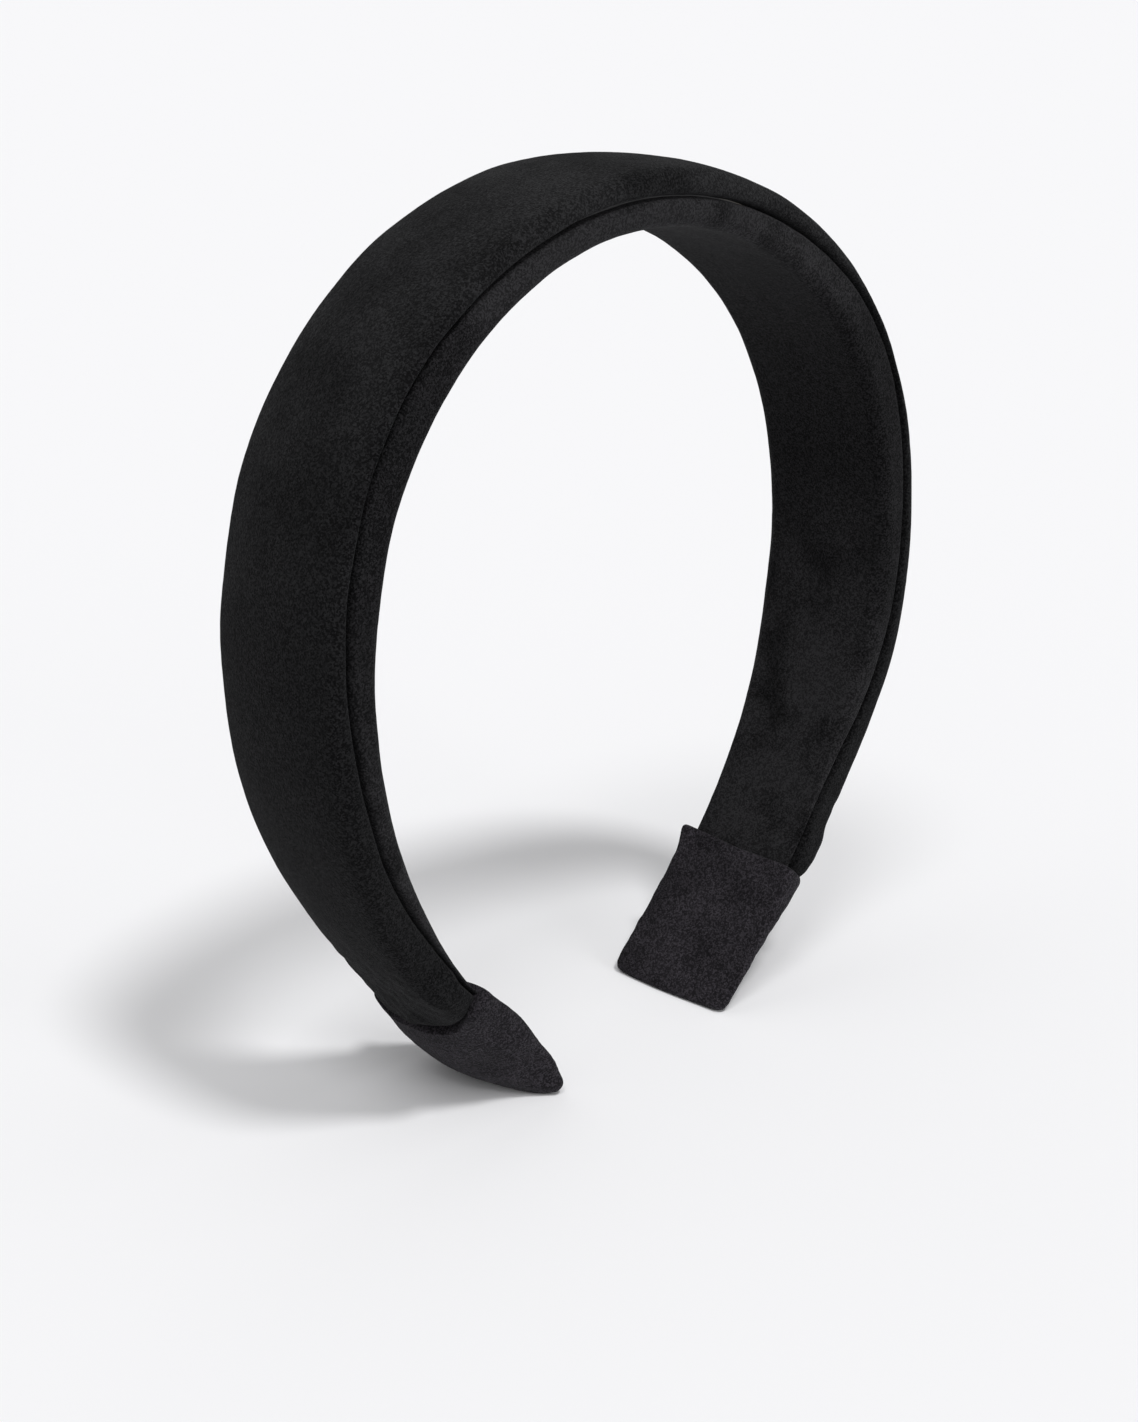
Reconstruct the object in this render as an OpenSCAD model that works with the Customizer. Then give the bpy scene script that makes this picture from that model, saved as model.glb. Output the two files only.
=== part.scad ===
// Padded velvet headband that stands on its two tips.
// The band runs in the XZ plane, its width runs along Y, +Z is up, and the origin lies on the
// resting plane, half way between the tips. Lengths are in millimetres.
// Every surface of the band is a chain of tangent arcs, measured by the angle of its outward
// normal from straight up, so that offsets of one chain stay true cylinders.

/* [Band] */
// Radius of the outer face over the head
outer_r = 69.6; // [69:0.1:70.2]
// Height of the outer face at its edges, over the crown
crown_z = 157; // [156.5:0.25:157.5]
// Thickness of the whole band at the crown
band_t = 9; // [8.6:0.1:9.4]
// Width of the band over the head
band_w = 29.5; // [28.5:0.5:31]
// Width of the band where it enters the end tabs
neck_w = 24; // [23:0.5:25]
// How far the outer pad swells past the band's own thickness
pad_rise = 1.5; // [1:0.25:2]

/* [Layers] */
// Thickness of the velvet
velvet_t = 0.8; // [0.6:0.1:0.9]
// Thickness of the spring band
spring_t = 1.4; // [1.2:0.1:1.5]
// How much narrower the spring band is than the velvet pocket, on each side
spring_margin = 1.2; // [0.8:0.2:2]
// Thickness of an adhesive film
bond_t = 0.15; // [0.1:0.05:0.15]
// Width of the groove between the outer cover and the inner lining
groove_w = 0.6; // [0.4:0.1:0.8]

/* [End tabs] */
// Width of an end tab at its open end
tab_w = 28.4; // [27.6:0.2:29.2]
// Width of an end tab at the tip
tab_tip_w = 27.2; // [26.4:0.2:27.6]
// Corner radius of the padded cover's end, in the mouth of the tab
mouth_r = 7; // [5:0.5:9]
// How far the spring band stops short of the tip's cut, measured level
tip_margin = 15; // [14.5:0.5:17]

/* [Flex] */
// Angle from the top of the crown to the line where each arm flexes
flex_a = 40; // [38:0.5:40]
// Gap between crown and arm layers at the flex line
flex_gap = 0.3; // [0.2:0.05:0.4]

/* [Hidden] */
$fn = 96;
far = 300;             // larger than the part
facet_a = 2.5;         // angle of one facet of the curved faces
skin = 0.03;           // clearance between glued layers
deep = 12;             // more than the band's thickness
end_a = 150;           // angle past the tips, where every chain stops

inner_r = outer_r - band_t;
mid_r = (outer_r + inner_r) / 2;

// Each chain: height over the crown, the arc radii, and the angles between which each arc runs.
// The middle chain has the mean of the outer and inner radii at every angle.
outer = [crown_z, [outer_r, outer_r + 15.4, outer_r + 30, 277], [-60, 75, 105, 140, end_a]];
inner = [crown_z - band_t, [inner_r, inner_r + 15.4, inner_r + 55.4, 300],
         [-60, 75, 105, 131, end_a]];
mid = [crown_z - band_t / 2,
       [mid_r, mid_r + 15.4, mid_r + 42.7, (outer_r + 30 + 300) / 2, (277 + 300) / 2],
       [-60, 75, 105, 131, 140, end_a]];
groove = [crown_z - 4, [74.5, 51, 82.5, 117, 170], [-60, 40, 75, 105, 134, end_a]];

slim_z = 30;           // the band is slim below this height,
wide_z = 72;           // at its full width above this one,
tab_wide_z = 26;       // and the tab at its full width above this one
bond_margin = 0.5;     // how much narrower an adhesive film is than the spring band, each side
spring_end_r = 4;      // corner radius of the spring band's ends
tab_from_a = 100;      // where the tab's outlines start, above its top edge
cover_end_a = 136;     // where the padded cover ends, on the outer chain
foam_end_a = 135;      // where the outer foam ends
wadding_end_a = 129;   // where the inner foam ends, on the inner chain
lining_end_a = 133;    // where the lining ends under the tab's inner leaf
tab_top_a = 127;       // edge of the tab's inner leaf, on the inner chain
leaf_drop = 0.3;       // how far the tab's outer leaf lies below the outer chain
tip_x = 20.3;          // outer edge of the right tab's resting face
tip_a = 138;           // angle at which the tab is cut off square
tip_land = 1.6;        // how far the tab runs on past tip_x, which gives it a face to rest on

arm_a = flex_a + asin(flex_gap / 2 / outer_r);
crown_a = flex_a - asin(flex_gap / 2 / outer_r);

function normal(a) = [sin(a), cos(a)];

// Centre of arc number i of a chain, in the XZ plane
function centre(chain, i) =
    i == 0 ? [0, chain[0] - chain[1][0]]
           : centre(chain, i - 1) + (chain[1][i - 1] - chain[1][i]) * normal(chain[2][i]);

// Arc number that holds the angle a
function arc_at(chain, a) = max([for (i = [0 : len(chain[1]) - 1]) if (a >= chain[2][i]) i]);

// Point of a chain at the angle a
function on_chain(chain, a) =
    let (i = arc_at(chain, a)) centre(chain, i) + chain[1][i] * normal(a);

// Angles from a0 to a1 in even steps of about facet_a
function steps(a0, a1) =
    let (n = ceil((a1 - a0) / facet_a)) [for (i = [0 : n]) a0 + (a1 - a0) * i / n];

// Strip between two offsets of a chain, in the XZ plane
module strip(chain, lo, hi, a0, a1) {
    angles = steps(a0, a1);
    last = len(angles) - 1;
    polygon([
        for (a = angles) on_chain(chain, a) + hi * normal(a),
        for (i = [0 : last]) on_chain(chain, angles[last - i]) + lo * normal(angles[last - i])
    ]);
}

// Gives an XZ outline a width along Y
module across(w) {
    rotate([90, 0, 0])
        linear_extrude(w, center = true)
            children();
}

// Outline seen along X: full width over the head, tapered towards the tabs
module taper(inset) {
    wide = band_w / 2 - inset;
    slim = neck_w / 2 - inset;
    rotate([90, 0, 90])
        linear_extrude(far, center = true)
            polygon([[-slim, -far], [slim, -far], [slim, slim_z], [wide, wide_z], [wide, far],
                     [-wide, far], [-wide, wide_z], [-slim, slim_z]]);
}

// Local frame on a chain: X towards the tip, Z straight out of the face
module at_chain(chain, a) {
    p = on_chain(chain, a);
    translate([p[0], 0, p[1]])
        rotate([0, a, 0])
            children();
}

// Everything on the crown's side of a square cut through a chain
module before(chain, a) {
    at_chain(chain, a)
        translate([-far, -far / 2, -far / 2])
            cube([far, far, far]);
}

// Flat outline of everything before a square end of width w with two rounded corners
module rounded_end(w, r, room = 0) {
    translate([-far, -far / 2])
        square([far - r, far]);
    translate([-far, -w / 2 + r])
        square([far, w - 2 * r]);
    for (side = [-1, 1])
        translate([-r, side * (w / 2 - r)])
            circle(r + room);
}

// The same as before(), with the cut's two corners rounded
module before_rounded(chain, a, w, r) {
    at_chain(chain, a)
        linear_extrude(far, center = true)
            rounded_end(w, r);
}

module spring_layer(a0, a1) {
    color("#2b2b2e")
        intersection() {
            across(band_w)
                strip(mid, -spring_t / 2, spring_t / 2, a0, a1);
            taper(velvet_t + spring_margin);
            before_rounded(mid, tip_a, neck_w - 2 * (velvet_t + spring_margin), spring_end_r);
            translate([tip_margin, 0, 0])
                before(mid, tip_a);
        }
}

module bond_layer(a0, a1, side) {
    inside = side * (spring_t / 2 + skin);
    color("#8d8a80")
        intersection() {
            across(band_w)
                strip(mid, min(inside, inside + side * bond_t), max(inside, inside + side * bond_t),
                      a0, a1);
            taper(velvet_t + spring_margin + bond_margin);
            before(mid, wadding_end_a);
        }
}

module outer_foam_layer(a0, a1) {
    color("#4a4a4c")
        intersection() {
            across(band_w)
                strip(outer, -deep, pad_rise - velvet_t - skin, a0, a1);
            taper(velvet_t + skin);
            across(band_w)
                strip(mid, spring_t / 2 + bond_t + 2 * skin, 2 * deep, a0 - 10, end_a);
            before_rounded(outer, foam_end_a, neck_w - 2 * velvet_t, mouth_r - 1);
        }
}

module inner_foam_layer(a0, a1) {
    color("#4a4a4c")
        intersection() {
            across(band_w)
                strip(inner, velvet_t + skin, deep, a0, a1);
            across(band_w)
                strip(mid, -2 * deep, -spring_t / 2 - bond_t - 2 * skin, a0 - 10, end_a);
            taper(velvet_t + skin);
            before(inner, wadding_end_a);
        }
}

module outer_cover_layer(a0, a1) {
    color("#1d1d1f")
        intersection() {
            difference() {
                intersection() {
                    across(band_w)
                        strip(outer, -deep, pad_rise, a0, a1);
                    taper(0);
                }
                intersection() {
                    across(band_w)
                        strip(outer, -2 * deep, pad_rise - velvet_t, a0 - facet_a, end_a);
                    taper(velvet_t);
                }
            }
            across(band_w + 1)
                strip(groove, groove_w / 2, 2 * deep, -60, end_a);
            before_rounded(outer, cover_end_a, neck_w, mouth_r);
        }
}

module inner_lining_layer(a0, a1) {
    color("#232325")
        intersection() {
            difference() {
                intersection() {
                    across(band_w)
                        strip(inner, 0, deep, a0, a1);
                    taper(0);
                }
                intersection() {
                    across(band_w)
                        strip(inner, velvet_t, 2 * deep, a0 - facet_a, end_a);
                    taper(velvet_t);
                }
            }
            across(band_w + 1)
                strip(groove, -2 * deep, -groove_w / 2, -60, end_a);
            before(inner, lining_end_a);
        }
}

// Outline of the tab seen along X
module tab_taper() {
    wide = tab_w / 2;
    slim = tab_tip_w / 2;
    rotate([90, 0, 90])
        linear_extrude(far, center = true)
            polygon([[-slim, 0], [slim, 0], [wide, tab_wide_z], [wide, far],
                     [-wide, far], [-wide, tab_wide_z]]);
}

// A pocket of folded velvet: inner leaf, two side folds, and an outer leaf past the cover's end
module tab_layer() {
    color("#262427")
        difference() {
            intersection() {
                across(tab_w)
                    intersection() {
                        strip(inner, -velvet_t, 2 * deep, tab_from_a, end_a);
                        strip(outer, -2 * deep, -leaf_drop, tab_from_a, end_a);
                    }
                tab_taper();
                at_chain(inner, tab_top_a)
                    translate([0, -far / 2, -far / 2])
                        cube([far, far, far]);
                translate([tip_x, 0, 0])
                    rotate([0, tip_a, 0])
                        translate([-far + tip_land, -far / 2, -far / 2])
                            cube([far, far, far]);
            }
            // room for the lining, the spring band and the side walls of the covers
            intersection() {
                across(neck_w + 2 * skin)
                    intersection() {
                        strip(inner, -skin, 2 * deep, tab_from_a, end_a);
                        strip(outer, -2 * deep, -leaf_drop - velvet_t, tab_from_a, end_a);
                    }
                translate([tip_x, 0, 0])
                    rotate([0, tip_a, 0])
                        translate([-far - velvet_t, -far / 2, -far / 2])
                            cube([far, far, far]);
            }
            // mouth for the rounded end of the padded cover
            intersection() {
                across(neck_w + 2 * skin)
                    strip(mid, spring_t / 2, 2 * deep, tab_from_a, end_a);
                at_chain(outer, cover_end_a)
                    translate([skin, 0, 0])
                        linear_extrude(far, center = true)
                            rounded_end(neck_w, mouth_r, skin);
            }
        }
}

module left() {
    mirror([1, 0, 0])
        children();
}

spring_layer(-crown_a, crown_a);  // spring_band_crown
bond_layer(-crown_a, crown_a, 1);  // outer_bond_crown
bond_layer(-crown_a, crown_a, -1);  // inner_bond_crown
outer_foam_layer(-crown_a, crown_a);  // outer_foam_crown
inner_foam_layer(-crown_a, crown_a);  // inner_foam_crown
outer_cover_layer(-crown_a, crown_a);  // outer_cover_crown
inner_lining_layer(-crown_a, crown_a);  // inner_lining_crown
left() spring_layer(arm_a, end_a);  // spring_band_left
left() bond_layer(arm_a, end_a, 1);  // outer_bond_left
left() bond_layer(arm_a, end_a, -1);  // inner_bond_left
left() outer_foam_layer(arm_a, end_a);  // outer_foam_left
left() inner_foam_layer(arm_a, end_a);  // inner_foam_left
left() outer_cover_layer(arm_a, end_a);  // outer_cover_left
left() inner_lining_layer(arm_a, end_a);  // inner_lining_left
left() tab_layer();  // end_tab_left
spring_layer(arm_a, end_a);  // spring_band_right
bond_layer(arm_a, end_a, 1);  // outer_bond_right
bond_layer(arm_a, end_a, -1);  // inner_bond_right
outer_foam_layer(arm_a, end_a);  // outer_foam_right
inner_foam_layer(arm_a, end_a);  // inner_foam_right
outer_cover_layer(arm_a, end_a);  // outer_cover_right
inner_lining_layer(arm_a, end_a);  // inner_lining_right
tab_layer();  // end_tab_right
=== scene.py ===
import math
import bmesh
import bpy
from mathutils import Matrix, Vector, noise


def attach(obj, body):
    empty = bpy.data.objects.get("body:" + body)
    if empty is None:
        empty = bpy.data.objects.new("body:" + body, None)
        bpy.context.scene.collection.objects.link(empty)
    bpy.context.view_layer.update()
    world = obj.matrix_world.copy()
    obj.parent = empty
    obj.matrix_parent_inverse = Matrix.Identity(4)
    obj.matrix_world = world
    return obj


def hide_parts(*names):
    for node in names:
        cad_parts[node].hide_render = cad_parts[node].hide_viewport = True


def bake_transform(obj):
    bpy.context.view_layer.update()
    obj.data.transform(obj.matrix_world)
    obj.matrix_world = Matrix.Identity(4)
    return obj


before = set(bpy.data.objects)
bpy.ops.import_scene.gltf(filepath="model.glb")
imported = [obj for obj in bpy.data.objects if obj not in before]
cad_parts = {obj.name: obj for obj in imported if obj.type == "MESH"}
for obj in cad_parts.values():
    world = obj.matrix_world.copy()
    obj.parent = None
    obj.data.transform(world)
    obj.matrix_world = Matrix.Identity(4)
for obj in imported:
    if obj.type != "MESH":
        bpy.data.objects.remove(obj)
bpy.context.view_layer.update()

mm = 0.001


# Faces, middle line and groove of the band, each a chain of arcs that run into one another.
# Breaks and angles are of the outward normal from straight up, in degrees; lengths are in mm.
band = {
    "crownHeight": 157.0,          # outer face at its edge, over the head
    "thickness": 9.0,
    "outerRadii": [69.6, 85.0, 99.6, 277.0],
    "outerBreaks": [0.0, 75.0, 105.0, 140.0],
    "innerRadii": [60.6, 76.0, 116.0, 300.0],
    "innerBreaks": [0.0, 75.0, 105.0, 131.0],
    "midRadii": [65.1, 80.5, 107.8, 199.8, 288.5],
    "midBreaks": [0.0, 75.0, 105.0, 131.0, 140.0],
    "grooveHeight": 153.0,         # line where the two velvet edges meet, over the head
    "grooveRadii": [74.5, 51.0, 82.5, 117.0, 170.0],
    "grooveBreaks": [0.0, 40.0, 75.0, 105.0, 134.0],
    "halfWidth": 14.75,            # over the head
    "neckHalfWidth": 12.0,         # where it enters the tabs
    "neckHeight": 30.0,            # below this height it is at its narrowest
    "wideHeight": 72.0,            # above this height it is at its widest
    "flexAngle": 40.0,             # where each arm springs open
    "flexSpread": 17.0,            # the cloth bends over this angle to each side of it
    "lastAngle": 146.0,            # the middle line is measured down to here, past the tip
    "searchAngle": 160.0,          # the faces are searched down to here
    "halvings": 40,                # steps of that search
}


def normalAt(a):
    return Vector((math.sin(math.radians(a)), 0, math.cos(math.radians(a))))


def makeChain(top, radii, breaks):
    centres = [Vector((0, 0, top - radii[0]))]
    for i in range(1, len(radii)):
        centres.append(centres[-1] + (radii[i - 1] - radii[i]) * normalAt(breaks[i]))
    return {"radii": radii, "breaks": breaks, "centres": centres}


def arcAt(chain, a):
    return max(k for k, b in enumerate(chain["breaks"]) if a >= b)


def onChain(chain, a):
    i = arcAt(chain, a)
    return chain["centres"][i] + chain["radii"][i] * normalAt(a)


outerChain = makeChain(band["crownHeight"], band["outerRadii"], band["outerBreaks"])
innerChain = makeChain(band["crownHeight"] - band["thickness"],
                       band["innerRadii"], band["innerBreaks"])
midChain = makeChain(band["crownHeight"] - band["thickness"] / 2,
                     band["midRadii"], band["midBreaks"])
grooveChain = makeChain(band["grooveHeight"], band["grooveRadii"], band["grooveBreaks"])


def heightOf(chain, p, n):
    # how far a chain lies from p, measured along n
    along = Vector((n.z, 0, -n.x))
    lo, hi = 0.0, band["searchAngle"]
    for _ in range(band["halvings"]):
        half = (lo + hi) / 2
        if (onChain(chain, half) - p).dot(along) > 0:
            hi = half
        else:
            lo = half
    return (onChain(chain, (lo + hi) / 2) - p).dot(n)


# Stations down the middle line of the right arm, from the crown
stationStep = 0.5        # mm
shoulderRow = 60         # a height is looked for below this station, where the band runs down


def measureStations():
    table, a = [], 0.0
    while a < band["lastAngle"]:
        p, n = onChain(midChain, a), normalAt(a)
        table.append((p, n, heightOf(outerChain, p, n), heightOf(innerChain, p, n),
                      heightOf(grooveChain, p, n)))
        a += math.degrees(stationStep / midChain["radii"][arcAt(midChain, a)])
    return table


stations = measureStations()


def station(s):
    # point, normal, and heights of the outer face, inner face and groove, s mm from the crown
    if s < 0:
        p, n, *heights = station(-s)
        return (Vector((-p.x, 0, p.z)), Vector((-n.x, 0, n.z)), *heights)
    t = min(s / stationStep, len(stations) - 1.001)
    i = int(t)
    f = t - i
    u, v = stations[i], stations[i + 1]
    return (u[0].lerp(v[0], f), u[1].lerp(v[1], f).normalized(),
            *(u[k] + (v[k] - u[k]) * f for k in (2, 3, 4)))


def lengthDown(z, face):
    # how far down the middle line the outer (2) or inner (3) face has come down to height z
    return stationStep * next(i for i, r in enumerate(stations)
                              if i > shoulderRow and (r[0] + r[face] * r[1]).z <= z)


def smooth(x, lo, hi):
    t = min(max((x - lo) / (hi - lo), 0.0), 1.0)
    return t * t * (3 - 2 * t)


def halfWidthAt(z):
    slim, wide = band["neckHalfWidth"], band["halfWidth"]
    return slim + (wide - slim) * smooth(z, band["neckHeight"], band["wideHeight"])


def roundEnd(s, end, r):
    # 1 along a piece, falling to 0 round a quarter circle of radius r at its end
    t = min(max((s - end + r) / r, 0.0), 1.0)
    return math.sqrt(max(1 - t * t, 0.0))


def ripple(x, y, z, size, seed):
    # smooth unevenness from -1 to 1, with bumps about size mm across
    return noise.noise(Vector((x / size + seed * 7.3, y / size - seed * 3.1, z / size)))


print("band line: %.0f mm from the crown to the tip" % (stationStep * len(stations)))


# A closed section is walked once round, from the middle of its top over one side to the
# middle of its bottom and back. Each part of the walk keeps its share of the points.
walkShares = {"top": 0.27, "topCorner": 0.10, "side": 0.05, "lowCorner": 0.04, "low": 0.04}
section = {
    "topLimit": 0.62,        # most of the depth that a top corner may take
    "lowLimit": 0.36,        # the same for a low corner
    "closesOver": 0.3,       # share of the low side over which the groove closes
    "domePower": 0.8,
}
mergeDistance = 0.002        # mm


def roundedSection(u, w, lo, hi, rTop, rLow, dome):
    # point at share u of the walk round a padded section with rounded corners and a domed top,
    # whose low side closes the groove from within. y runs across the band, h out of its face.
    side = 1 if u < 0.5 else -1
    d = u if u < 0.5 else 1 - u
    rTop = min(rTop, (hi - lo) * section["topLimit"])
    rLow = min(rLow, (hi - lo) * section["lowLimit"])
    parts = list(walkShares.values())
    k = 0
    while k < 4 and d > parts[k]:
        d -= parts[k]
        k += 1
    t = min(d / parts[k], 1.0)
    turn = t * math.pi / 2
    if k == 0:
        y, h = t * (w - rTop), hi
    elif k == 1:
        y, h = w - rTop * (1 - math.sin(turn)), hi - rTop * (1 - math.cos(turn))
    elif k == 2:
        y, h = w, hi - rTop + t * (lo + rLow - hi + rTop)
    elif k == 3:
        y, h = w - rLow * (1 - math.cos(turn)), lo + rLow * (1 - math.sin(turn))
    else:
        y = (1 - t * t) * (w - rLow)
        h = lo - groove["halfGap"] * smooth(t, 0.0, section["closesOver"])
    if k < 2:
        h += dome * (1 - (y / w) ** 2) ** section["domePower"]
    return side * y, h


def sweep(name, rows, around, s0, s1, shape):
    # a grid rolled round the band's line: shape(s, u) gives y and h at s mm from the crown
    bm = bmesh.new()
    bmesh.ops.create_grid(bm, x_segments=rows, y_segments=around, size=0.5)
    for v in bm.verts:
        s = s0 + (s1 - s0) * (v.co.x + 0.5)
        u = v.co.y + 0.5
        y, h = shape(s, u % 1.0)
        p, n, _, _, _ = station(s)
        v.co = p + h * n
        v.co.y = y
    bmesh.ops.remove_doubles(bm, verts=bm.verts, dist=mergeDistance)
    bmesh.ops.holes_fill(bm, edges=[e for e in bm.edges if e.is_boundary], sides=0)
    bmesh.ops.recalc_face_normals(bm, faces=bm.faces)
    mesh = bpy.data.meshes.new(name)
    bm.to_mesh(mesh)
    bm.free()
    obj = bpy.data.objects.new(name, mesh)
    bpy.context.scene.collection.objects.link(obj)
    return obj


def settle(obj, side, moves):
    # gives the right-hand form its small unevenness, mirrors it for the left arm, and brings it
    # to metres
    bm = bmesh.new()
    bm.from_mesh(obj.data)
    if side < 0:
        bmesh.ops.scale(bm, vec=(-1, 1, 1), verts=bm.verts)
        bmesh.ops.reverse_faces(bm, faces=bm.faces)
    bm.normal_update()
    shifts = [moves(v.co, v.normal) for v in bm.verts]
    for v, shift in zip(bm.verts, shifts):
        v.co += shift
    bmesh.ops.scale(bm, vec=(mm, mm, mm), verts=bm.verts)
    for f in bm.faces:
        f.smooth = True
    bm.to_mesh(obj.data)
    bm.free()


def freeze(obj):
    # one subdivision, applied
    sub = obj.modifiers.new("Subdivision", "SUBSURF")
    sub.levels = sub.render_levels = 1
    bpy.context.view_layer.update()
    seen = obj.evaluated_get(bpy.context.evaluated_depsgraph_get())
    mesh = bpy.data.meshes.new_from_object(seen)
    obj.modifiers.clear()
    old, obj.data = obj.data, mesh
    mesh.name = obj.name
    bpy.data.meshes.remove(old)


def cutAtCrown(obj, side):
    # halves are smoothed past the crown and cut there, so that they meet without a crease
    bm = bmesh.new()
    bm.from_mesh(obj.data)
    bmesh.ops.bisect_plane(bm, geom=[*bm.verts, *bm.edges, *bm.faces], dist=1e-7,
                           plane_co=(0, 0, 0), plane_no=(side, 0, 0), clear_inner=True)
    rim = [e for e in bm.edges if e.is_boundary]
    bmesh.ops.holes_fill(bm, edges=rim, sides=0)
    for e in rim:
        e.smooth = False
    bm.to_mesh(obj.data)
    bm.free()


rowsPast = 4      # rows of each half made past the crown and cut away
outerFace, innerFace = 2, 3          # places of their heights in a station
coverEnd = lengthDown(16.8, outerFace)       # bottom of the U where the cover goes into the tab
leafTop = lengthDown(24.0, innerFace)        # top edge of the tab's inner leaf
sides = {"left": -1, "right": 1}

# The groove between cover and lining runs down each side of the band, and closes on the inner
# edge as it nears the tab
groove = {
    "closesFrom": 46.0,      # mm above the cover's end
    "closesAt": 11.0,
    "liningLeft": 0.9,       # mm of lining still seen where it has closed
    "coverLeft": 1.1,        # mm of cover left above it at the least
    "halfGap": 0.35,
}


def grooveAt(s):
    _, _, out, inn, seam = station(s)
    shut = smooth(s, coverEnd - groove["closesFrom"], coverEnd - groove["closesAt"])
    seam = min(seam, out - groove["coverLeft"])
    return seam + (inn + groove["liningLeft"] - seam) * shut


# The padded outer cover: velvet over foam, in two halves that meet unseen at the crown
cover = {
    "dome": 1.9,             # how far the padding swells past the edges
    "edgeRadius": 2.1,
    "seamRadius": 0.9,       # roll of the velvet where it dips into the groove
    "mouthRadius": 8.5,      # corner of its rounded end
    "endRoll": 1.4,
    "endDepth": 0.06,        # share of its depth left at the very end
    "endPuff": 1.2,          # how much wider it swells just before its end
    "puffs": (18, 8),        # mm before its end, over which it swells
    "flattens": 0.45,        # share of the dome lost on the way down
    "flat": (45, 4),         # mm before its end, over which that happens
    "rows": 190,
    "around": 72,
    "unevenness": 0.22,      # mm, long soft swells
    "swellSizes": (17, 8),
    "creaseDepth": 0.35,     # mm, gathers just above the tab
    "gatherSize": 3.2,
    "gatherHeights": (46, 20),       # mm above the floor, over which they deepen
    "pile": 0.05,            # mm, tufts
    "tuftSize": 0.9,
}


def coverShape(s, u):
    p, _, out, _, _ = station(s)
    puffFrom, puffTo = cover["puffs"]
    flatFrom, flatTo = cover["flat"]
    w = halfWidthAt(p.z) + cover["endPuff"] * smooth(s, coverEnd - puffFrom, coverEnd - puffTo)
    near = roundEnd(s, coverEnd, cover["mouthRadius"])
    w -= cover["mouthRadius"] * (1 - near)
    lo = grooveAt(s) + groove["halfGap"]
    roll = roundEnd(s, coverEnd, cover["endRoll"])
    hi = lo + (out - lo) * max(roll, cover["endDepth"])
    flat = cover["flattens"] * smooth(s, coverEnd - flatFrom, coverEnd - flatTo)
    dome = cover["dome"] * roll * (1 - flat)
    return roundedSection(u, w, lo, hi, cover["edgeRadius"], cover["seamRadius"], dome)


def coverMoves(co, n):
    # long soft swells, gathers near the tab, and the tufts of the pile
    high, low = cover["gatherHeights"]
    wide, small = cover["swellSizes"]
    close = smooth(-co.z, -high, -low)
    swell = ripple(co.x, co.y * 1.3, co.z, wide, 1) + 0.5 * ripple(co.x, co.y, co.z, small, 2)
    gather = ripple(co.x * 0.35, co.y * 1.4, co.z * 1.8, cover["gatherSize"], 3)
    tuft = ripple(co.x, co.y, co.z, cover["tuftSize"], 4)
    return n * (cover["unevenness"] * swell + close * cover["creaseDepth"] * gather
                        + cover["pile"] * tuft)


# The lining: velvet over a thin wadding, rounded where it rolls over both sides
lining = {
    "edgeRadius": 2.6,
    "seamRadius": 0.8,
    "inset": 0.1,            # mm narrower than the band on each side
    "hidden": 7.0,           # mm of it under the tab's inner leaf
    "endRoll": 1.5,
    "endDepth": 0.1,
    "rows": 190,
    "around": 72,
    "unevenness": 0.16,
    "swellSizes": (15, 6),
    "pile": 0.05,
    "tuftSize": 0.9,
}


def liningShape(s, u):
    # the walk starts at the inner face, which is turned into the section's top
    p, _, _, inn, _ = station(s)
    w = halfWidthAt(p.z) - lining["inset"]
    hi = grooveAt(s) - groove["halfGap"]
    roll = roundEnd(s, leafTop + lining["hidden"], lining["endRoll"])
    y, h = roundedSection(u, w, -hi, -inn, lining["edgeRadius"], lining["seamRadius"], 0.0)
    middle = (hi + inn) / 2
    return y, middle + (-h - middle) * max(roll, lining["endDepth"])


def liningMoves(co, n):
    wide, small = lining["swellSizes"]
    swell = ripple(co.x, co.y, co.z, wide, 11) + 0.5 * ripple(co.x, co.y, co.z, small, 12)
    tuft = ripple(co.x, co.y, co.z, lining["tuftSize"], 13)
    return n * (lining["unevenness"] * swell + lining["pile"] * tuft)


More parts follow.
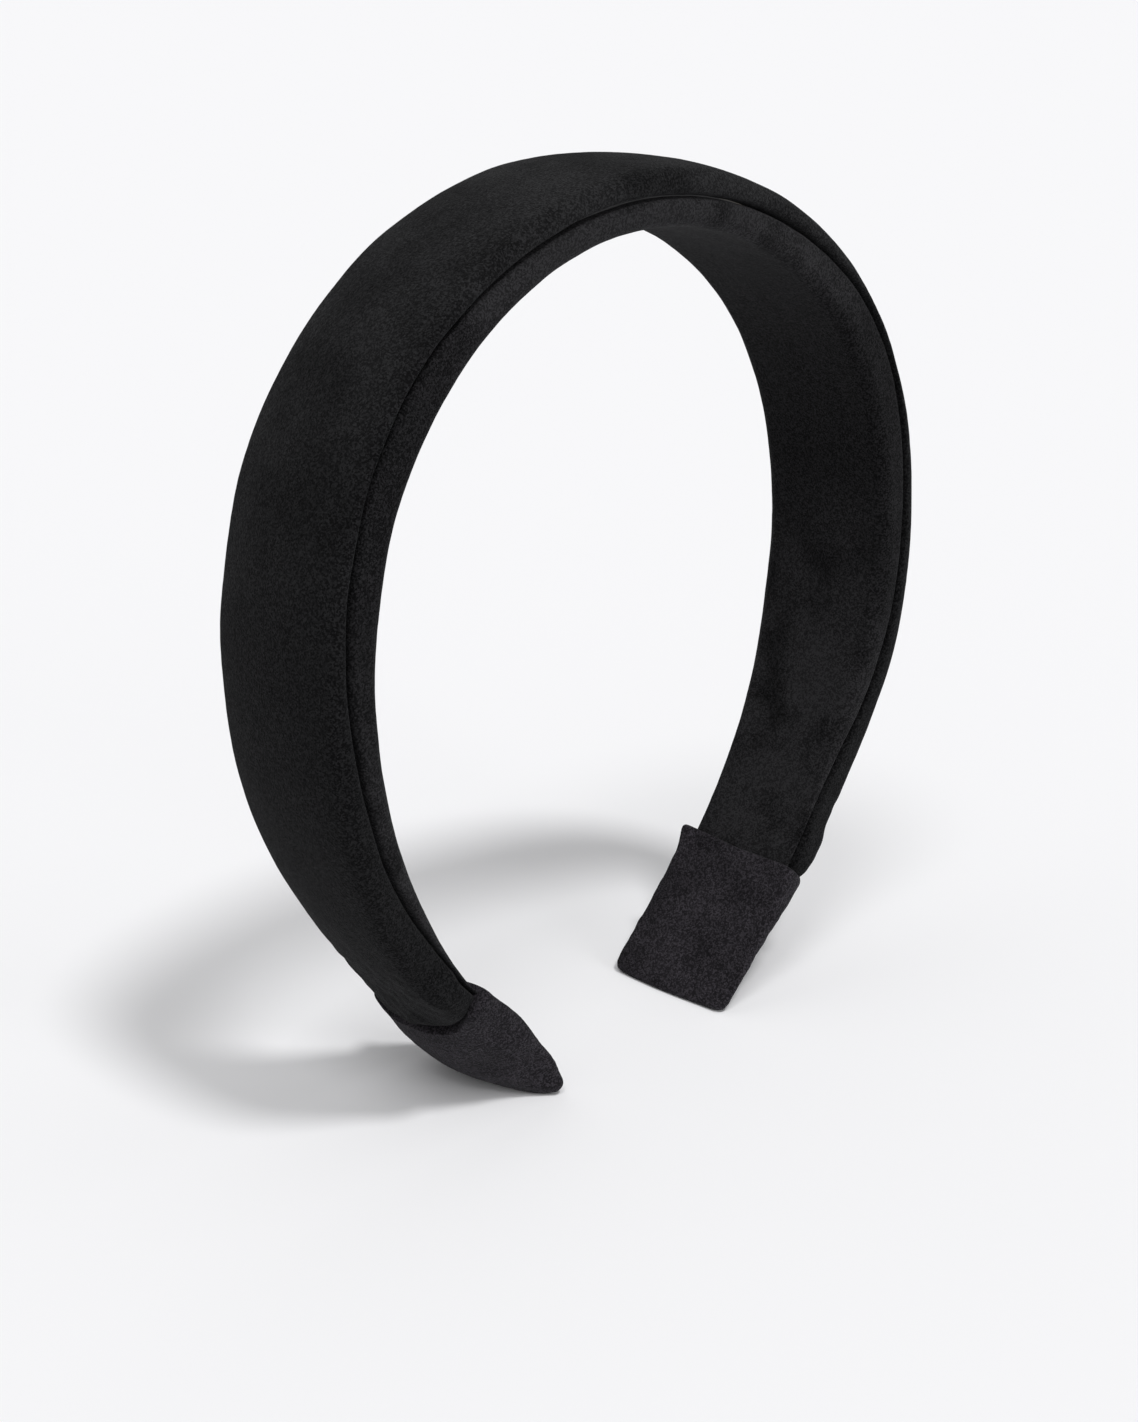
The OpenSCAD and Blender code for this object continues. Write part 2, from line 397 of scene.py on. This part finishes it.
# The end tabs: a velvet wrap folded round each tip, open towards the crown
tab = {
    "halfWidth": 14.2,
    "tipHalfWidth": 14.0,
    "leaf": 0.8,             # mm, thickness of the velvet
    "topRoll": 0.3,          # mm more of it at the top edge
    "topRollLength": 3.0,
    "topCorner": 1.6,
    "tipCorner": 2.4,
    "edgeRadius": 0.8,
    "bulge": 1.0,            # mm, of the outer leaf
    "bulgeEnds": 10,         # mm before the tip, from where it flattens
    "crownPower": (5.0, 2.2),        # squareness of the outer leaf, and how much is lost
    "crownRound": 0.7,
    "fold": 5.0,             # mm, over which each side climbs from the inner to the outer face
    "foldPast": 1.5,         # mm of that below the mouth
    "wall": {"back": 0.9, "front": 0.55},    # share of the band's thickness each side climbs
    "thins": (2.0, 4.0),     # mm past the mouth and before the tip, between which it thins
    "room": 0.1,             # mm round the cover
    "sunk": 0.08,            # mm of the leaf inside the lining above the mouth
    "mouthLip": (0.6, 0.2),  # mm above and below the mouth's line, over which it rises
    "sideLip": (0.2, 0.1),   # mm inside and outside the neck, the same across the band
    "outerShare": 0.55,      # the walk round it: outer leaf, then edge, then inner leaf
    "innerFrom": 0.72,
    "land": 1.6,             # mm that it runs on past the middle line's end
    "tipRoll": 1.2,
    "tipDepth": 0.25,        # share of its depth left at the very end
    "rows": 76,
    "around": 96,
    "wave": 0.28,            # mm, of its long edges
    "waveSizes": (3.4, 1.6),
    "waveSides": (9.0, 13.0),        # mm from the middle, over which the wave sets in
    "creaseDepth": 0.12,
    "creaseSize": 5.0,
    "pile": 0.07,
    "tuftSize": 0.8,
    "ear": {"left": (1.0, 0.0), "right": (2.0, 0.5)},   # mm, back and front top corner
    "earPlace": (1.5, 1.0),  # mm below the top edge and in from the side
    "earSize": 2.2,
    "earLift": (0.4, 0.9),   # sideways and up
    "horn": {"left": 0.8, "right": 0.3},     # mm, how far the back of the mouth is drawn out
    "hornDown": 0.5,         # mm below the mouth's upper end
    "hornHeight": 0.8,       # share of the way to the outer face
    "hornSize": 3.6,
    "hornLift": (0.2, 0.55),         # sideways and outwards, for each mm up the band
}
floorRoom = 0.2          # mm above the floor, where the middle line is taken to end
tipLength = stationStep * next(i for i, r in enumerate(stations) if r[0].z <= floorRoom)
mouthSide = coverEnd - cover["mouthRadius"]          # where the U's straight sides end


def tabShape(s, u):
    # a lens: flat inner leaf, rolled edges, and an outer leaf that swells over the tip. Above
    # the mouth only the inner leaf is there, with a fold that climbs each side of the band.
    _, _, out, inn, _ = station(s)
    end = tipLength + tab["land"]
    neck = band["neckHalfWidth"] + cover["endPuff"] + tab["room"]
    radius, r = cover["mouthRadius"], tab["edgeRadius"]
    w = tab["halfWidth"] + (tab["tipHalfWidth"] - tab["halfWidth"]) * smooth(s, leafTop, end)
    w -= tab["tipCorner"] * (1 - roundEnd(s, end, tab["tipCorner"]))
    w -= tab["topCorner"] * (1 - roundEnd(-s, -leafTop, tab["topCorner"]))
    rolled = 1 - smooth(s, leafTop, leafTop + tab["topRollLength"])
    lo = inn - tab["leaf"] - tab["topRoll"] * rolled
    climb = smooth(s, mouthSide - tab["fold"], mouthSide + tab["foldPast"])
    thin = smooth(s, mouthSide + tab["thins"][0], tipLength - tab["thins"][1])
    side = 1 if u < 0.5 else -1
    wall = tab["wall"]["back" if side > 0 else "front"]
    lip = lo + 2 * r + max(out - lo - 2 * r, 0.0) * wall * climb * (1 - thin)
    d = 2 * (u if u < 0.5 else 1 - u)
    edgeFrom, innerFrom = tab["outerShare"], tab["innerFrom"]
    t = min(d / edgeFrom, 1.0)
    if d <= edgeFrom:
        y = t * (w - r)
        corner = max(0.0, y - neck + radius)
        mouth = mouthSide + math.sqrt(max(radius ** 2 - corner ** 2, 0.0))
        within, beyond = tab["sideLip"]
        above = inn - tab["sunk"]
        above += (lip - above) * smooth(y, neck - within, neck + beyond)
        swell = tab["bulge"] * (1 - smooth(s, tipLength - tab["bulgeEnds"], end))
        square, lost = tab["crownPower"]
        crown = max(out - tab["room"] + swell - lip, 0.0)
        crown *= (1 - t ** (square - lost * thin)) ** tab["crownRound"]
        over, under = tab["mouthLip"]
        h = above + (lip + crown - above) * smooth(s, mouth - over, mouth + under)
    elif d <= innerFrom:
        q = (d - edgeFrom) / (innerFrom - edgeFrom) * math.pi
        y, h = w - r + r * math.sin(q), (lo + lip) / 2 + (lip - lo) / 2 * math.cos(q)
    else:
        y, h = (w - r) * (1 - (d - innerFrom) / (1 - innerFrom)), lo
    middle = lo + r
    roll = max(roundEnd(s, end, tab["tipRoll"]), tab["tipDepth"])
    return side * y, middle + (h - middle) * roll


def tabMoves(co, n):
    # creases and tufts, wavy long edges, and the corners that stand proud
    name = "left" if co.x < 0 else "right"
    wide, small = tab["waveSizes"]
    wave = ripple(co.x, 0, co.z, wide, 21) + 0.5 * ripple(co.x, 0, co.z, small, 22)
    tuft = ripple(co.x, co.y, co.z, tab["tuftSize"], 23)
    crease = ripple(co.x, co.y, co.z, tab["creaseSize"], 24)
    shift = n * (tab["creaseDepth"] * crease + tab["pile"] * tuft)
    shift.y += math.copysign(smooth(abs(co.y), *tab["waveSides"]) * tab["wave"], co.y) * wave
    # an ear at each top corner
    down, within = tab["earPlace"]
    p, out, _, inn, _ = station(leafTop + down)
    top = p + inn * out
    away = Vector((abs(co.x) - top.x, abs(co.y) - tab["halfWidth"] + within, co.z - top.z))
    lift = tab["ear"][name][0 if co.y > 0 else 1]
    lift *= math.exp(-(away.length / tab["earSize"]) ** 2)
    aside, up = tab["earLift"]
    shift += lift * Vector((0, math.copysign(aside, co.y), up))
    # a horn at the back of the mouth
    p, out, high, _, _ = station(mouthSide + tab["hornDown"])
    back = p + tab["hornHeight"] * high * out
    away = Vector((abs(co.x) - back.x, co.y - band["neckHalfWidth"], co.z - back.z))
    stand = tab["horn"][name] * math.exp(-(away.length / tab["hornSize"]) ** 2)
    aside, outwards = tab["hornLift"]
    rise = Vector((-out.z, aside, out.x)) + outwards * out
    shift += stand * Vector((math.copysign(rise.x, co.x), rise.y, rise.z))
    shift.z = max(shift.z, -co.z)
    return shift


# Nothing holds the tips straight: each stands a little turned, the left one most, with its
# front edge curled in and its front side drawn up along the band
turn = {
    "left": {"front": 6.3, "rear": 8.2, "curl": 3.3, "drawn": 3.0},     # mm
    "right": {"front": 2.1, "rear": 0.4, "curl": 0.0, "drawn": 0.0},
    "length": 26.0,          # mm above the floor, over which the turn dies out
    "innerShare": 0.75,      # how much of it the inner face follows
    "sides": (-15.0, 4.0),   # mm across the band, between which front goes over to rear
    "curls": (-1.0, 8.0, 15.0, 27.0),        # heights in mm where the curl sets in and ends
    "draws": (2.0, 16.0, 26.0, 50.0),        # the same for the drawn side
    "halfWidth": 14.0,
    "landed": 0.4,           # mm beyond the outer face, where the turn is whole
}


def turnTip(obj, name, side):
    own = turn[name]
    foot = station(tipLength)
    lean = station(coverEnd)[1]
    for v in obj.data.vertices:
        x, y, z = abs(v.co.x) / mm, v.co.y / mm, v.co.z / mm
        if z > turn["draws"][3]:
            continue
        offset = Vector((x, 0, z)) - foot[0]
        share = smooth(offset.dot(foot[1]), foot[3] - tab["leaf"], foot[2] + turn["landed"])
        reach = turn["innerShare"] + (1 - turn["innerShare"]) * share
        out = reach * (own["front"] + (own["rear"] - own["front"]) * smooth(y, *turn["sides"]))
        out *= 1 - smooth(z, 0.0, turn["length"])
        a, b, c, d = turn["curls"]
        rise = smooth(z, a, b) * (1 - smooth(z, c, d))
        out -= own["curl"] * rise * smooth(-y, 0.0, turn["halfWidth"])
        a, b, c, d = turn["draws"]
        drawn = smooth(z, a, b) * (1 - smooth(z, c, d))
        up = own["drawn"] * -y / turn["halfWidth"] * drawn
        v.co.x += side * mm * (out - up * lean.z)
        v.co.z += mm * up * lean.x


def restOnFloor(obj):
    for v in obj.data.vertices:
        v.co.z = max(v.co.z, 0.0)


def sweepHalf(name, look, end, shape):
    past = rowsPast * end / look["rows"]
    return sweep(name, look["rows"] + rowsPast, look["around"], -past, end, shape)


pieces = {}
flexStart = onChain(midChain, band["flexAngle"] - band["flexSpread"]) * mm
flexEnd = onChain(midChain, band["flexAngle"] + band["flexSpread"]) * mm
for name, side in sides.items():
    arm = name + "_arm"
    half = sweepHalf("outerCover_" + name, cover, coverEnd, coverShape)
    settle(half, side, coverMoves)
    freeze(half)
    cutAtCrown(half, side)
    under = sweepHalf("innerLining_" + name, lining, leafTop + lining["hidden"], liningShape)
    settle(under, side, liningMoves)
    freeze(under)
    cutAtCrown(under, side)
    wrap = sweep("endTab_" + name, tab["rows"], tab["around"], leafTop, tipLength + tab["land"],
                 tabShape)
    settle(wrap, side, tabMoves)
    freeze(wrap)
    turnTip(wrap, name, side)
    restOnFloor(wrap)
    for piece in (half, under):
        turnTip(piece, name, side)
        start, end = flexStart.copy(), flexEnd.copy()
        start.x, end.x = side * start.x, side * end.x
        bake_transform(piece)
    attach(wrap, arm)
    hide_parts("outer_cover_" + name, "outer_foam_" + name,
                "outer_cover_crown", "outer_foam_crown")
    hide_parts("inner_lining_" + name, "inner_foam_" + name,
                "inner_lining_crown", "inner_foam_crown")
    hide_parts("end_tab_" + name)
    pieces[name] = {"cover": half, "lining": under, "tab": wrap}
print("pieces:", sum(len(p) for p in pieces.values()))


pileLook = {
    "tufts": (0.40, 0.72),           # range of the random tufts that goes from deep to lit, painted in as glints of the fibres
    "fuzz": (0.7, 2.0, 0.6),         # share of the fibre scale, detail and roughness
    "coarse": (0.33, 2.0, 0.6),
    "coarseRange": (0.35, 0.65),
    "coarseLeast": 0.65,             # brightness left where the pile is coarse
    "clouds": (1.0, 3.0, 0.55),      # the same as fuzz, for the nap scale
    "cloudRange": (0.36, 0.66),
    "paintedGlint": (0.6, 1.2),             # strength of the tufts' painted glints, where the painted light is weakest and strongest
    # how much the nap clouds, scaled by the painted light strength, lighten the colour
    "napGain": 0.35,
    "fuzzHeight": 0.8,
    "tuftHeight": 0.2,
    "roughness": (0.92, 0.78),       # where the painted light is weakest and strongest
    "specular": 0.08,
    "sheenRoughness": 0.45,
    "sheenTint": (0.85, 0.86, 0.9),
    "bumpDistance": 0.00030,         # m
}


def velvetGroup():
    # fine upright pile with a soft cloudy nap, worked out from Object coordinates. Its tufts are
    # painted in as glints of the fibres, and both the glints and the nap clouds are painted
    # lighter where the incoming painted light strength is higher.
    g = bpy.data.node_groups.new("velvetPile", "ShaderNodeTree")
    for label, kind in (("Vector", "NodeSocketVector"), ("Deep", "NodeSocketColor"),
                        ("Lit", "NodeSocketColor"), ("Fibre", "NodeSocketFloat"),
                        ("Nap", "NodeSocketFloat"), ("Painted light strength", "NodeSocketFloat")):
        g.interface.new_socket(label, in_out="INPUT", socket_type=kind)
    for label, kind in (("Color", "NodeSocketColor"), ("Height", "NodeSocketFloat"),
                        ("Roughness", "NodeSocketFloat")):
        g.interface.new_socket(label, in_out="OUTPUT", socket_type=kind)
    nodes, links = g.nodes, g.links
    put, out = nodes.new("NodeGroupInput"), nodes.new("NodeGroupOutput")

    def tex(scaleFrom, factor, detail, rough):
        t = nodes.new("ShaderNodeTexNoise")
        t.inputs["Detail"].default_value = detail
        t.inputs["Roughness"].default_value = rough
        m = nodes.new("ShaderNodeMath")
        m.operation = "MULTIPLY"
        m.inputs[1].default_value = factor
        links.new(put.outputs[scaleFrom], m.inputs[0])
        links.new(m.outputs[0], t.inputs["Scale"])
        links.new(put.outputs["Vector"], t.inputs["Vector"])
        return t.outputs["Fac"]

    def spread(value, lo, hi, toLo=0.0, toHi=1.0):
        r = nodes.new("ShaderNodeMapRange")
        r.inputs["From Min"].default_value, r.inputs["From Max"].default_value = lo, hi
        r.inputs["To Min"].default_value, r.inputs["To Max"].default_value = toLo, toHi
        links.new(value, r.inputs["Value"])
        return r.outputs["Result"]

    def maths(kind, a, b):
        m = nodes.new("ShaderNodeMath")
        m.operation = kind
        m.use_clamp = True
        for socket, x in zip(m.inputs, (a, b)):
            if isinstance(x, float):
                socket.default_value = x
            else:
                links.new(x, socket)
        return m.outputs[0]

    tufts = nodes.new("ShaderNodeTexVoronoi")
    links.new(put.outputs["Fibre"], tufts.inputs["Scale"])
    links.new(put.outputs["Vector"], tufts.inputs["Vector"])
    fibres = spread(tufts.outputs["Color"], *pileLook["tufts"])
    fuzz = tex("Fibre", *pileLook["fuzz"])
    coarse = spread(tex("Fibre", *pileLook["coarse"]), *pileLook["coarseRange"],
                    pileLook["coarseLeast"], 1.0)
    clouds = spread(tex("Nap", *pileLook["clouds"]), *pileLook["cloudRange"])
    # the nap's random clouds, scaled by the painted light strength
    nap = maths("MULTIPLY", clouds, put.outputs["Painted light strength"])
    # painted glints: the random tufts, brighter where the painted light strength is higher
    paintedGlint = maths("MULTIPLY", fibres, coarse)
    opening = spread(nap, 0.0, 1.0, *pileLook["paintedGlint"])
    amount = maths("ADD", maths("MULTIPLY", paintedGlint, opening),
                   maths("MULTIPLY", nap, pileLook["napGain"]))
    mix = nodes.new("ShaderNodeMix")
    mix.data_type = "RGBA"
    links.new(amount, mix.inputs["Factor"])
    links.new(put.outputs["Deep"], mix.inputs[6])
    links.new(put.outputs["Lit"], mix.inputs[7])
    links.new(mix.outputs[2], out.inputs["Color"])
    links.new(maths("ADD", maths("MULTIPLY", fuzz, pileLook["fuzzHeight"]),
                    maths("MULTIPLY", fibres, pileLook["tuftHeight"])), out.inputs["Height"])
    links.new(spread(nap, 0.0, 1.0, *pileLook["roughness"]), out.inputs["Roughness"])
    return g


pile = velvetGroup()

# Each velvet has its deep colour and the lit colour of its painted glints and painted light. The
# painted light is given over the head and lower down, between two heights in metres: the cover is
# painted lighter over the head, the lining lighter lower down. The painted sheen of the rolled
# edges over the head is given for the lining alone.
velvets = {
    "cover_velvet": {"deep": (0.0010, 0.0010, 0.0012), "lit": (0.0200, 0.0200, 0.0211),
                     "fibre": 3900, "nap": 75, "paintedLightTop": 0.75, "paintedLightLow": 0.05, "paintedEdgeSheen": 0.0,
                     "paintedLightHeights": (0.150, 0.085),
                     "sheen": 0.03, "bump": 1.0},
    "lining_velvet": {"deep": (0.0010, 0.0010, 0.0012), "lit": (0.0220, 0.0214, 0.0231),
                      "fibre": 3900, "nap": 95, "paintedLightTop": 0.0, "paintedLightLow": 1.5, "paintedEdgeSheen": 2.4,
                      "paintedLightHeights": (0.100, 0.045),
                      "sheen": 0.035, "bump": 1.0},
    "tab_velvet": {"deep": (0.0056, 0.0050, 0.0062), "lit": (0.0485, 0.0435, 0.0515),
                   "fibre": 3900, "nap": 150, "paintedLightTop": 0.35, "paintedLightLow": 0.35, "paintedEdgeSheen": 0.0,
                   "paintedLightHeights": (0.100, 0.045),
                   "sheen": 0.045, "bump": 1.0},
}
paintedSheenSides = (0.0118, 0.0145)      # metres from the middle, over which the painted sheen on the rolled edges sets in
paintedSheenHeights = (0.126, 0.150)     # metres, over which the painted sheen on the edges grows


def velvetMaterial(name, look):
    mat = bpy.data.materials.new(name)
    mat.use_nodes = True
    nodes, links = mat.node_tree.nodes, mat.node_tree.links
    bsdf = nodes["Principled BSDF"]
    bsdf.inputs["Specular IOR Level"].default_value = pileLook["specular"]
    bsdf.inputs["Sheen Weight"].default_value = look["sheen"]
    bsdf.inputs["Sheen Roughness"].default_value = pileLook["sheenRoughness"]
    bsdf.inputs["Sheen Tint"].default_value = (*pileLook["sheenTint"], 1)
    g = nodes.new("ShaderNodeGroup")
    g.node_tree = pile
    g.inputs["Deep"].default_value = (*look["deep"], 1)
    g.inputs["Lit"].default_value = (*look["lit"], 1)
    g.inputs["Fibre"].default_value = look["fibre"]
    g.inputs["Nap"].default_value = look["nap"]
    place = nodes.new("ShaderNodeTexCoord")
    links.new(place.outputs["Object"], g.inputs["Vector"])
    split = nodes.new("ShaderNodeSeparateXYZ")
    # painted light by height: its strength goes from the value over the head to the value lower
    # down, between the two heights given
    lean = nodes.new("ShaderNodeMapRange")
    lean.inputs["From Min"].default_value = look["paintedLightHeights"][0]
    lean.inputs["From Max"].default_value = look["paintedLightHeights"][1]
    lean.inputs["To Min"].default_value = look["paintedLightTop"]
    lean.inputs["To Max"].default_value = look["paintedLightLow"]
    links.new(place.outputs["Object"], split.inputs["Vector"])
    links.new(split.outputs["Z"], lean.inputs["Value"])
    # painted sheen: the rolled edges are painted lighter, most of all over the head
    across = nodes.new("ShaderNodeMath")
    across.operation = "ABSOLUTE"
    links.new(split.outputs["Y"], across.inputs[0])
    edge = nodes.new("ShaderNodeMapRange")
    edge.inputs["From Min"].default_value, edge.inputs["From Max"].default_value = paintedSheenSides
    edge.inputs["To Max"].default_value = look["paintedEdgeSheen"]
    links.new(across.outputs[0], edge.inputs["Value"])
    high = nodes.new("ShaderNodeMapRange")
    high.inputs["From Min"].default_value, high.inputs["From Max"].default_value = paintedSheenHeights
    links.new(split.outputs["Z"], high.inputs["Value"])
    # painted light in all: the painted sheen of the edges over the head, added to the painted
    # light by height
    paintedLightStrength = nodes.new("ShaderNodeMath")
    paintedLightStrength.operation = "MULTIPLY_ADD"
    links.new(edge.outputs["Result"], paintedLightStrength.inputs[0])
    links.new(high.outputs["Result"], paintedLightStrength.inputs[1])
    links.new(lean.outputs["Result"], paintedLightStrength.inputs[2])
    links.new(paintedLightStrength.outputs[0], g.inputs["Painted light strength"])
    bump = nodes.new("ShaderNodeBump")
    bump.inputs["Strength"].default_value = look["bump"]
    bump.inputs["Distance"].default_value = pileLook["bumpDistance"]
    links.new(g.outputs["Height"], bump.inputs["Height"])
    links.new(bump.outputs["Normal"], bsdf.inputs["Normal"])
    links.new(g.outputs["Color"], bsdf.inputs["Base Color"])
    links.new(g.outputs["Roughness"], bsdf.inputs["Roughness"])
    return mat


materials = {name: velvetMaterial(name, look) for name, look in velvets.items()}
for half in pieces.values():
    for part, obj in half.items():
        obj.data.materials.append(materials[part + "_velvet"])
print("velvet:", ", ".join(materials))


# What the cloth hides: the spring band and the films that hold the pads to it
hidden = {
    "spring_band": {"name": "spring_plastic", "deep": (0.020, 0.020, 0.022),
                    "lit": (0.032, 0.032, 0.034), "grain": 900, "roughness": (0.42, 0.58),
                    "bump": 0.15},
    "bond": {"name": "adhesive_film", "deep": (0.10, 0.092, 0.075), "lit": (0.17, 0.155, 0.125),
             "grain": 380, "roughness": (0.25, 0.5), "bump": 0.3},
}


grainDetail = 4
grainDepth = 0.0001      # m


def hiddenMaterial(look):
    mat = bpy.data.materials.new(look["name"])
    mat.use_nodes = True
    nodes, links = mat.node_tree.nodes, mat.node_tree.links
    bsdf = nodes["Principled BSDF"]
    place = nodes.new("ShaderNodeTexCoord")
    tex = nodes.new("ShaderNodeTexNoise")
    tex.inputs["Scale"].default_value = look["grain"]
    tex.inputs["Detail"].default_value = grainDetail
    ramp = nodes.new("ShaderNodeValToRGB")
    ramp.color_ramp.elements[0].color = (*look["deep"], 1)
    ramp.color_ramp.elements[1].color = (*look["lit"], 1)
    rough = nodes.new("ShaderNodeMapRange")
    rough.inputs["To Min"].default_value, rough.inputs["To Max"].default_value = look["roughness"]
    bump = nodes.new("ShaderNodeBump")
    bump.inputs["Strength"].default_value = look["bump"]
    bump.inputs["Distance"].default_value = grainDepth
    links.new(place.outputs["Object"], tex.inputs["Vector"])
    links.new(tex.outputs["Fac"], ramp.inputs["Fac"])
    links.new(tex.outputs["Fac"], rough.inputs["Value"])
    links.new(tex.outputs["Fac"], bump.inputs["Height"])
    links.new(ramp.outputs["Color"], bsdf.inputs["Base Color"])
    links.new(rough.outputs["Result"], bsdf.inputs["Roughness"])
    links.new(bump.outputs["Normal"], bsdf.inputs["Normal"])
    return mat


hiddenMaterials = {key: hiddenMaterial(look) for key, look in hidden.items()}
for name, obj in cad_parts.items():
    for key, mat in hiddenMaterials.items():
        if key in name:
            for slot in obj.material_slots:
                slot.material = mat
print("inner layers:", ", ".join(m.name for m in hiddenMaterials.values()))


# Pale floor, three soft suns from the front, above and one side, and even light all round
studio = {
    "floorRadius": 30.0,
    "floorCorners": 96,
    "floorColor": (0.90, 0.90, 0.915),
    "fill": 0.42,
    "suns": {                # direction it comes from, strength, softness in degrees
        "key": ((0.0, -0.5, 1.0), 1.30, 10.0),
        "side": ((-0.5, -0.35, 1.0), 0.70, 20.0),
        "front": ((0.1, -1.0, 0.25), 0.8, 35.0),
    },
}
bm = bmesh.new()
bmesh.ops.create_circle(bm, cap_ends=True, segments=studio["floorCorners"],
                      radius=studio["floorRadius"])
floorMesh = bpy.data.meshes.new("floor")
bm.to_mesh(floorMesh)
bm.free()
floor = bpy.data.objects.new("floor", floorMesh)
bpy.context.scene.collection.objects.link(floor)
floorMat = bpy.data.materials.new("floor_paper")
floorMat.use_nodes = True
paper = floorMat.node_tree.nodes["Principled BSDF"]
paper.inputs["Base Color"].default_value = (*studio["floorColor"], 1)
paper.inputs["Roughness"].default_value = 1.0
paper.inputs["Specular IOR Level"].default_value = 0.0
floorMesh.materials.append(floorMat)

for name, (direction, strength, softness) in studio["suns"].items():
    sun = bpy.data.lights.new(name, "SUN")
    sun.energy = strength
    sun.angle = math.radians(softness)
    lamp = bpy.data.objects.new(name, sun)
    lamp.rotation_euler = Vector(direction).to_track_quat("Z", "Y").to_euler()
    bpy.context.scene.collection.objects.link(lamp)

world = bpy.data.worlds.new("studio")
world.use_nodes = True
world.node_tree.nodes["Background"].inputs["Color"].default_value = (1, 1, 1, 1)
world.node_tree.nodes["Background"].inputs["Strength"].default_value = studio["fill"]
bpy.context.scene.world = world
bpy.context.scene.view_settings.view_transform = "Standard"

# Camera: azimuth and elevation round the band's middle
shot = {
    "azimuth": -44.2,
    "elevation": 19.77,
    "distance": 0.369,       # m
    "target": (-0.00767, 0, 0.0645),
    "lens": 53.3,            # mm
    "sensor": 36,
    "farthest": 100,         # m
}
az, el = math.radians(shot["azimuth"]), math.radians(shot["elevation"])
back = Vector((math.sin(az) * math.cos(el), -math.cos(az) * math.cos(el), math.sin(el)))
cam = bpy.data.objects.new("camera", bpy.data.cameras.new("camera"))
cam.data.lens = shot["lens"]
cam.data.sensor_width = shot["sensor"]
cam.data.clip_end = shot["farthest"]
cam.location = Vector(shot["target"]) + shot["distance"] * back
cam.rotation_euler = back.to_track_quat("Z", "Y").to_euler()
bpy.context.scene.collection.objects.link(cam)
bpy.context.scene.camera = cam
print("studio: floor, %d suns, fill and camera" % len(studio["suns"]))
